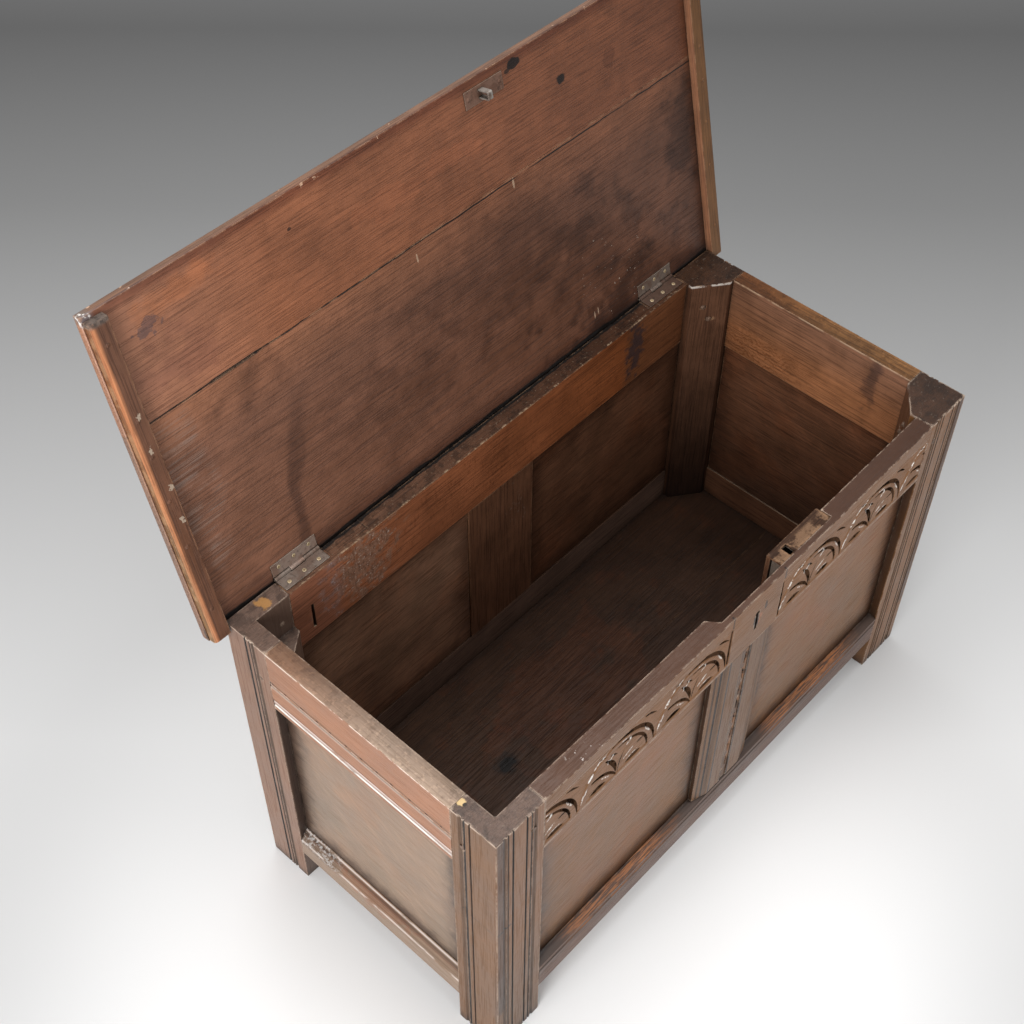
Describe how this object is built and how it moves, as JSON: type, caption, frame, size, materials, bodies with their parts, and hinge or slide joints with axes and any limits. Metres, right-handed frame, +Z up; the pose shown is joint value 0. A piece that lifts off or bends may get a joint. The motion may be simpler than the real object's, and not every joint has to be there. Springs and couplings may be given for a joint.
{
  "type": "joined oak coffer",
  "caption": "Joined oak coffer with panelled sides, a carved lunette band on the front rail, and a cleated lid that swings on butt hinges over one open well.",
  "frame": {"origin": "on the floor, at the middle of the box round the coffer with its lid open", "axes": "+X to the right as seen from the front, +Y towards the back, +Z up"},
  "size_m": [1.058, 0.6033, 1.0661],
  "materials": {
    "oak_frame": "waxed, worn",
    "oak_panel": "waxed, worn",
    "oak_inside": "dry, dark",
    "oak_lid": "waxed, worn",
    "oak_peg": "dry end grain",
    "iron": "dark, rubbed at the edges",
    "screw_brass": "dull"
  },
  "bodies": {
    "carcass": {"front_bottom_rail": "oak_frame", "front_floor_board": "oak_inside", "front_left_panel": "oak_panel", "front_left_peg": "oak_peg", "front_left_stile": "oak_frame", "front_muntin": "oak_frame", "front_right_panel": "oak_panel", "front_right_peg": "oak_peg", "front_right_stile": "oak_frame", "front_top_rail": "oak_frame", "left_bottom_rail": "oak_frame", "left_front_peg": "oak_peg", "left_hinge_pin": "iron", "left_hinge_rail_leaf": "iron", "left_hinge_rail_screw_1": "screw_brass", "left_hinge_rail_screw_2": "screw_brass", "left_hinge_rail_screw_3": "screw_brass", "left_panel": "oak_panel", "left_rear_peg": "oak_peg", "left_top_rail": "oak_frame", "lock_case": "iron", "lock_cover": "oak_inside", "lock_spring": "iron", "rear_bottom_rail": "oak_frame", "rear_floor_board": "oak_inside", "rear_left_panel": "oak_panel", "rear_left_peg": "oak_peg", "rear_left_stile": "oak_frame", "rear_muntin": "oak_frame", "rear_right_panel": "oak_panel", "rear_right_peg": "oak_peg", "rear_right_stile": "oak_frame", "rear_top_rail": "oak_frame", "right_bottom_rail": "oak_frame", "right_front_peg": "oak_peg", "right_hinge_pin": "iron", "right_hinge_rail_leaf": "iron", "right_hinge_rail_screw_1": "screw_brass", "right_hinge_rail_screw_2": "screw_brass", "right_hinge_rail_screw_3": "screw_brass", "right_panel": "oak_panel", "right_rear_peg": "oak_peg", "right_top_rail": "oak_frame"},
    "lid": {"left_hinge_lid_leaf": "iron", "left_hinge_lid_screw_1": "screw_brass", "left_hinge_lid_screw_2": "screw_brass", "left_hinge_lid_screw_3": "screw_brass", "lid_front_board": "oak_lid", "lid_left_cleat": "oak_lid", "lid_rear_board": "oak_lid", "lid_right_cleat": "oak_lid", "right_hinge_lid_leaf": "iron", "right_hinge_lid_screw_1": "screw_brass", "right_hinge_lid_screw_2": "screw_brass", "right_hinge_lid_screw_3": "screw_brass", "staple": "iron", "staple_plate": "iron"},
    "lock_bolt": {"lock_bolt": "iron"}
  },
  "joints": [
    {"name": "lid_hinge", "type": "hinge", "parent": "carcass", "child": "lid", "pos_m": [0, 0.17792, 0.593], "axis": [1, 0, 0], "range_deg": [0, 102.77]},
    {"name": "bolt_slide", "type": "slide", "parent": "carcass", "child": "lock_bolt", "axis": [-1, 0, 0], "range_m": [0, 0.018]}
  ]
}
